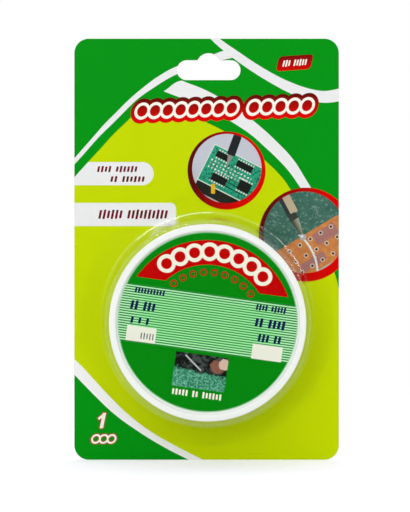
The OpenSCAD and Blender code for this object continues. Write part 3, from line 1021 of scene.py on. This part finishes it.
def studio(settings):
    """White where it is seen, and an even fill of its own strength on every other ray."""
    world = bpy.data.worlds.new("studio")
    world.use_nodes = True
    air = Recipe(world.node_tree)
    backdrop = air.shader("Background", Color=WHITE, Strength=1.0)
    fill = air.shader("Background", Color=(0.97, 0.98, 1.0, 1.0), Strength=settings.sky)
    air.add("ShaderNodeOutputWorld", (), (air.mixed(air.seen(), fill, backdrop),))
    return world


# ---------------- operators


class SOLDERREEL_OT_card(bpy.types.Operator):
    """Prints the hang card"""

    bl_idname = "solder_reel.card"
    bl_label = "Print card"

    def execute(self, context):
        coat(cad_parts["backing_card"], printed_board(context.scene.solder_card))
        return {"FINISHED"}


class SOLDERREEL_OT_blister(bpy.types.Operator):
    """Forms the clear dome and its sealing flange"""

    bl_idname = "solder_reel.blister"
    bl_label = "Form blister"

    def execute(self, context):
        s = context.scene.solder_blister
        sheet, edge_r, foot_r = s.sheet / MM, s.edge / MM, s.foot / MM
        draft = math.degrees(s.draft)
        lean = math.tan(s.draft)
        inner_front = SHELL_FRONT - sheet
        base_r = REEL_R + s.side_gap / MM + inner_front * lean
        foot_arm, edge_arm = foot_r + sheet, edge_r - sheet
        foot = (base_r + foot_arm * math.tan(math.radians(90 - draft) / 2), foot_arm)
        edge_z = inner_front - edge_arm
        edge = (base_r - edge_z * lean - edge_arm / math.cos(s.draft), edge_z)
        # The front sags a little in its middle, and the seal's film keeps the flange off the print.
        dish = np.linspace(0, edge[0], 24)[:-1]
        depth, film = 0.12, 0.03
        sag = depth * (1 - (dish / edge[0]) ** 2) ** 2

        def surface(off):
            """Outline of one side, axis to flange. The two sides share the centres of their bends."""
            front = np.stack((dish, inner_front + off - sag), axis=-1)
            bent = bends(
                (*edge, edge_arm + off, 90, draft, 16),
                (*foot, foot_arm - off, 180 + draft, 270, 12),
            )
            return np.concatenate((front, bent))

        lip = arc((FLANGE_R - sheet / 2, sheet / 2), sheet / 2, 90, -90, 9)
        outline = np.concatenate((surface(sheet), lip, surface(0.0)[::-1]))
        outline[:, 1] = np.maximum(outline[:, 1], film)
        dome = lathe("blister_dome", outline, steps=256, closed=False, smooth=ROUND)
        finish_piece(dome, clear_sheet(s), "blister", "clear_sheet", "blister_shell")
        return {"FINISHED"}


class SOLDERREEL_OT_reel(bpy.types.Operator):
    """Turns the two moulded halves of the reel"""

    bl_idname = "solder_reel.reel"
    bl_label = "Turn reel halves"

    def execute(self, context):
        s = context.scene.solder_reel
        rim_w, rim_h, web, hub, wall, bore, spigot, e = (
            v / MM
            for v in (s.rim_width, s.rim_height, s.web, s.hub, s.hub_wall, s.bore, s.spigot, s.edge)
        )
        rim_in = REEL_R - rim_w
        rear_out, front_out = REEL_BACK + rim_h, REEL_FRONT - rim_h
        rear_in, front_in = rear_out + web, front_out - web
        soft = 0.25
        # The spigot's bead snaps into a groove in the hub tube.
        snap, play = 0.5, 0.05
        snap_z = rear_in + spigot - 2 * snap
        plug = hub - wall - play
        front = bends(
            (bore + soft, front_out - soft, soft, 180, 90, 5),
            (rim_in - soft, front_out + soft, soft, -90, 0, 5),
            (rim_in + e, REEL_FRONT - e, e, 180, 90, 9),
            (REEL_R - e, REEL_FRONT - e, e, 90, 0, 9),
            (REEL_R - e, front_in + e, e, 0, -90, 9),
            (hub + soft, front_in - soft, soft, 90, 180, 5),
            (hub - soft, rear_in + soft, soft, 0, -90, 5),
            (hub - wall + soft, rear_in + soft, soft, -90, -180, 5),
            (plug, snap_z, snap + play, -84, 84, 13),
            (hub - wall, front_in, 0, 0, 0, 1),
            (bore + soft, front_in + soft, soft, -90, -180, 5),
        )
        rear = bends(
            (bore + soft, rear_out + soft, soft, 180, 270, 5),
            (rim_in - soft, rear_out - soft, soft, 90, 0, 5),
            (rim_in + e, REEL_BACK + e, e, 180, 270, 9),
            (REEL_R - e, REEL_BACK + e, e, -90, 0, 9),
            (REEL_R - e, rear_in - e, e, 0, 90, 9),
            (plug, rear_in, 0, 0, 0, 1),
            (plug, snap_z, snap, -90, 90, 13),
            (plug - soft, rear_in + spigot - soft, soft, 0, 90, 5),
            (bore + soft, rear_in + spigot - soft, soft, 90, 180, 5),
        )
        turn_r = context.scene.solder_wire.turn_radius / MM
        light_r, wire_r = 1.5, 0.8
        web_holes = [(*place, light_r) for place in arc((0, 0), (hub + turn_r) / 2, 90, 450, 4)[:-1]]
        tail, *_ = tail_hole(turn_r, rim_in - TAIL_INSET)
        wire_holes = [(*tail[:2], wire_r), (*first_hole(hub)[0][:2], wire_r)]
        plastic = moulded_white(s)
        piece = lathe("reel_front", front)
        drill(piece, web_holes, front_in - 1, front_out + 1)
        finish_piece(piece, plastic, "reel", "white_plastic", "reel_front_half")
        piece = lathe("reel_rear", rear)
        drill(piece, web_holes + wire_holes, rear_out - 1, rear_in + 1)
        finish_piece(piece, plastic, "reel", "white_plastic", "reel_rear_half")
        return {"FINISHED"}


class SOLDERREEL_OT_label(bpy.types.Operator):
    """Prints the round label on the front half"""

    bl_idname = "solder_reel.label"
    bl_label = "Print label"

    def execute(self, context):
        coat(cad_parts["front_label"], printed_label(context.scene.solder_label))
        return {"FINISHED"}


# Angles seen from the front: where the wire leaves the outer layer, how far its free end turns inwards, and
# where its inner end passes the web.
LEAVE = math.radians(202.4122)
TAIL_LEAN = math.radians(25)
START = math.radians(250)
# How far inside the rim the tail's hole is, and how far outside the hub the inner end's is.
TAIL_INSET = 2.7
START_GAP = 1.0


def round_axis(angle):
    """Unit vectors away from the reel's axis and along its turns, at an angle."""
    c, s = math.cos(angle), math.sin(angle)
    return np.array([c, s, 0.0]), np.array([-s, c, 0.0])


def tail_hole(turn_r, hole_r):
    """The line that touches the outer layer at LEAVE, on which the wire runs to its hole.

    Gives where it meets the hole's circle, where it touches, and the unit vectors away from the axis and
    along the line.
    """
    out, along = round_axis(LEAVE)
    touch = turn_r * out
    return touch + along * math.sqrt(hole_r**2 - turn_r**2), touch, out, along


def first_hole(hub):
    """Place of the inner end's hole, and the direction in which that end is bent over."""
    out, along = round_axis(START)
    return (hub + START_GAP) * out, along


def quarter(start, first, second, bend, points):
    """Quarter circle that leaves a place along one direction and ends along another."""
    a = np.radians(np.linspace(0, 90, points))[1:, None]
    return start + bend * (np.sin(a) * first + (1 - np.cos(a)) * second)


def bent_end(corner, direction, bend, straight, drop):
    """Path down through a hole, round a quarter bend and straight on along a direction."""
    turn = quarter(corner, DOWN, direction, bend, 13)
    run = turn[-1] + direction * np.linspace(0, straight, 24)[1:, None]
    fall = corner - DOWN * np.linspace(drop, 0, 6 if drop else 1)[:, None]
    return np.concatenate((fall, turn, run))


def ease(t):
    """Smooth step t t (3 - 2t), level at 0 and at 1."""
    return t * t * (3 - 2 * t)


class SOLDERREEL_OT_wire(bpy.types.Operator):
    """Winds the solder wire and bends its two ends"""

    bl_idname = "solder_reel.wire"
    bl_label = "Wind wire"

    def execute(self, context):
        s, reel = context.scene.solder_wire, context.scene.solder_reel
        r, turn_r = s.diameter / 2 / MM, s.turn_radius / MM
        rear_out = REEL_BACK + reel.rim_height / MM
        rear_in = rear_out + reel.web / MM
        front_in = REEL_FRONT - (reel.rim_height + reel.web) / MM
        hub = reel.hub / MM
        solder = drawn_solder(s)

        web_gap, ring_gap = 0.06, 0.02
        low, high = rear_in + r + web_gap, front_in - r - web_gap
        pitch = (high - low) / s.turns
        # The turns below are one ring, whose outline is half circles midway between the outer turns.
        z = np.linspace(rear_in + ring_gap, front_in - ring_gap, 400)
        off = np.abs((z - low) / pitch % 1 - 0.5) * pitch
        layer_step = 1.2
        skin = turn_r - layer_step + np.sqrt(np.clip(r**2 - off**2, 0.0, None))
        outline = np.concatenate((np.stack((skin, z), axis=-1), [(hub, z[-1]), (hub, z[0])]))
        under = lathe("under_turns", outline, steps=144, smooth=WOUND)
        finish_piece(under, solder, "reel", "solder", "wound_core")

        # Outer layer: a helix that rises out of the layer below, then a straight run to the web's hole.
        end = LEAVE + 2 * np.pi * math.ceil(s.turns)
        a = np.linspace(end - 2 * np.pi * s.turns, end, int(s.turns * 96))
        share = (a - a[0]) / (a[-1] - a[0])
        start_depth, rise_angle, unevenness = 1.1, 0.9, 0.012
        radius = turn_r - start_depth * (1 - ease(np.clip((a - a[0]) / rise_angle, 0, 1)))
        waver = unevenness * np.sin(a * 0.37) * np.sin(np.pi * share)
        height = high - (high - low) * share + waver
        turns = np.stack((radius * np.cos(a), radius * np.sin(a), height), axis=-1)
        hole, touch, out, along = tail_hole(turn_r, REEL_R - reel.rim_width / MM - TAIL_INSET)
        bend, lift_start = 1.0, 0.35
        t = np.linspace(0, 1, 26)[1:, None]
        run = touch + along * t * (math.hypot(*(hole - touch)[:2]) - bend)
        lift = np.clip((t - lift_start) / (1 - lift_start), 0, 1)
        run[:, 2:] = low + (rear_in + bend - low) * ease(lift)
        turn = quarter(run[-1], along, DOWN, bend, 11)
        drop = turn[-1] + DOWN * np.linspace(0, rear_in - rear_out, 5)[1:, None]
        path = np.concatenate((turns, run, turn, drop))
        side = np.broadcast_to(out, path.shape).copy()
        side[: len(a)] = np.stack((np.cos(a), np.sin(a), np.zeros_like(a)), axis=-1)
        layer = wire("outer_turns", path, side, r, s.sides)
        finish_piece(layer, solder, "reel", "solder", "outer_layer")

        elbow_gap, end_sides = 0.1, 24

        def end_of_wire(name, place, direction, straight, drop):
            corner = np.array([place[0], place[1], rear_out])
            path = bent_end(corner, direction, r + elbow_gap, straight, drop)
            return wire(name, path, np.cross(direction, DOWN), r, end_sides)

        tail_length, start_length, start_drop = 13.0, 6.0, 1.6
        free, _ = round_axis(math.atan2(hole[1], hole[0]) - math.pi / 2 - TAIL_LEAN)
        tail = end_of_wire("free_end", hole, free, tail_length, 0.0)
        finish_piece(tail, solder, "reel", "solder", "wire_tail")
        start = end_of_wire("inner_end", *first_hole(hub), start_length, start_drop)
        finish_piece(start, solder, "reel", "solder", "wire_start")
        coat(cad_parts["flux_core"], rosin_core(s))
        return {"FINISHED"}


def area_lamp(name, place, target, width, height, watts):
    data = bpy.data.lights.new(name, "AREA")
    data.shape, data.size, data.size_y, data.energy = "RECTANGLE", width, height, watts
    lamp = bpy.data.objects.new(name, data)
    bpy.context.scene.collection.objects.link(lamp)
    lamp.location = place
    lamp.rotation_euler = (Vector(target) - Vector(place)).to_track_quat("-Z", "Y").to_euler()
    lamp.visible_camera = False
    return lamp


class SOLDERREEL_OT_stage(bpy.types.Operator):
    """Sets the floor, the lamps and the camera"""

    bl_idname = "solder_reel.stage"
    bl_label = "Set stage"

    def execute(self, context):
        s = context.scene.solder_stage
        scene = context.scene
        scene.view_settings.view_transform = "Standard"
        scene.world = studio(s)
        foot = card_low[2] * MM
        half = 3.0
        corners = [(-half, -half, foot), (half, -half, foot), (half, half, foot), (-half, half, foot)]
        mesh = bpy.data.meshes.new("floor")
        mesh.from_pydata(corners, [], [(0, 1, 2, 3)])
        mesh.materials.append(bright_floor(s))
        floor = bpy.data.objects.new("floor", mesh)
        scene.collection.objects.link(floor)

        aim = (AXIS_X * MM, 0.0, -0.075)
        area_lamp("key", (-0.50, -1.60, 0.35), aim, 0.70, 0.70, s.key)
        area_lamp("top", (-0.45, -1.20, 1.00), aim, 0.70, 0.70, s.top)
        area_lamp("side", (1.25, -1.30, 0.45), aim, 0.50, 1.00, s.side)
        area_lamp("back", (0.0, 0.14, 0.62), (0.0, -0.03, foot), 0.70, 0.25, s.back)
        # Strips that only glossy surfaces show, each at an angle round the reel's axis.
        reach = 0.87
        for name, degrees, width, share in (("glint_left", 112, 0.84, 1.8), ("glint_right", 37, 1.2, 1.0)):
            a = math.radians(degrees)
            place = (reach * math.cos(a), -0.50, AXIS_Z * MM + reach * math.sin(a))
            area_lamp(name, place, aim, width, 0.26, s.glint * share).visible_diffuse = False

        lens = bpy.data.cameras.new("camera")
        camera = bpy.data.objects.new("camera", lens)
        scene.collection.objects.link(camera)
        lens.sensor_width, lens.sensor_fit, lens.lens = 36.0, "AUTO", s.lens
        lens.clip_start, lens.clip_end = 0.01, 20.0
        view_x, view_z = -1.245, -69.08
        camera.location = (view_x * MM, CARD_FACE_Y * MM - s.distance, view_z * MM)
        camera.rotation_euler = (math.pi / 2, 0.0, 0.0)
        scene.camera = camera
        return {"FINISHED"}


class SOLDERREEL_PT_panel(bpy.types.Panel):
    """Lists the pieces of the carded solder reel"""

    bl_idname = "SOLDERREEL_PT_panel"
    bl_label = "Solder Reel"
    bl_space_type = "VIEW_3D"
    bl_region_type = "UI"
    bl_category = "Solder Reel"

    def draw(self, context):
        for operator, name, _ in STEPS:
            self.layout.operator(operator.bl_idname)
            settings = getattr(context.scene, name)
            for key in settings.bl_rna.properties.keys():
                if key not in ("rna_type", "name"):
                    self.layout.prop(settings, key)


STEPS = (
    (SOLDERREEL_OT_stage, "solder_stage", StageSettings),
    (SOLDERREEL_OT_card, "solder_card", CardSettings),
    (SOLDERREEL_OT_reel, "solder_reel", ReelSettings),
    (SOLDERREEL_OT_label, "solder_label", LabelSettings),
    (SOLDERREEL_OT_wire, "solder_wire", WireSettings),
    (SOLDERREEL_OT_blister, "solder_blister", BlisterSettings),
)


def register():
    for operator, name, group in STEPS:
        bpy.utils.register_class(group)
        setattr(bpy.types.Scene, name, PointerProperty(type=group))
        bpy.utils.register_class(operator)
    bpy.utils.register_class(SOLDERREEL_PT_panel)


def unregister():
    bpy.utils.unregister_class(SOLDERREEL_PT_panel)
    for operator, name, group in reversed(STEPS):
        bpy.utils.unregister_class(operator)
        delattr(bpy.types.Scene, name)
        bpy.utils.unregister_class(group)


def main():
    register()
    bpy.ops.solder_reel.stage()
    bpy.ops.solder_reel.card()
    bpy.ops.solder_reel.reel()
    bpy.ops.solder_reel.label()
    bpy.ops.solder_reel.wire()
    bpy.ops.solder_reel.blister()


if __name__ == "__main__":
    main()
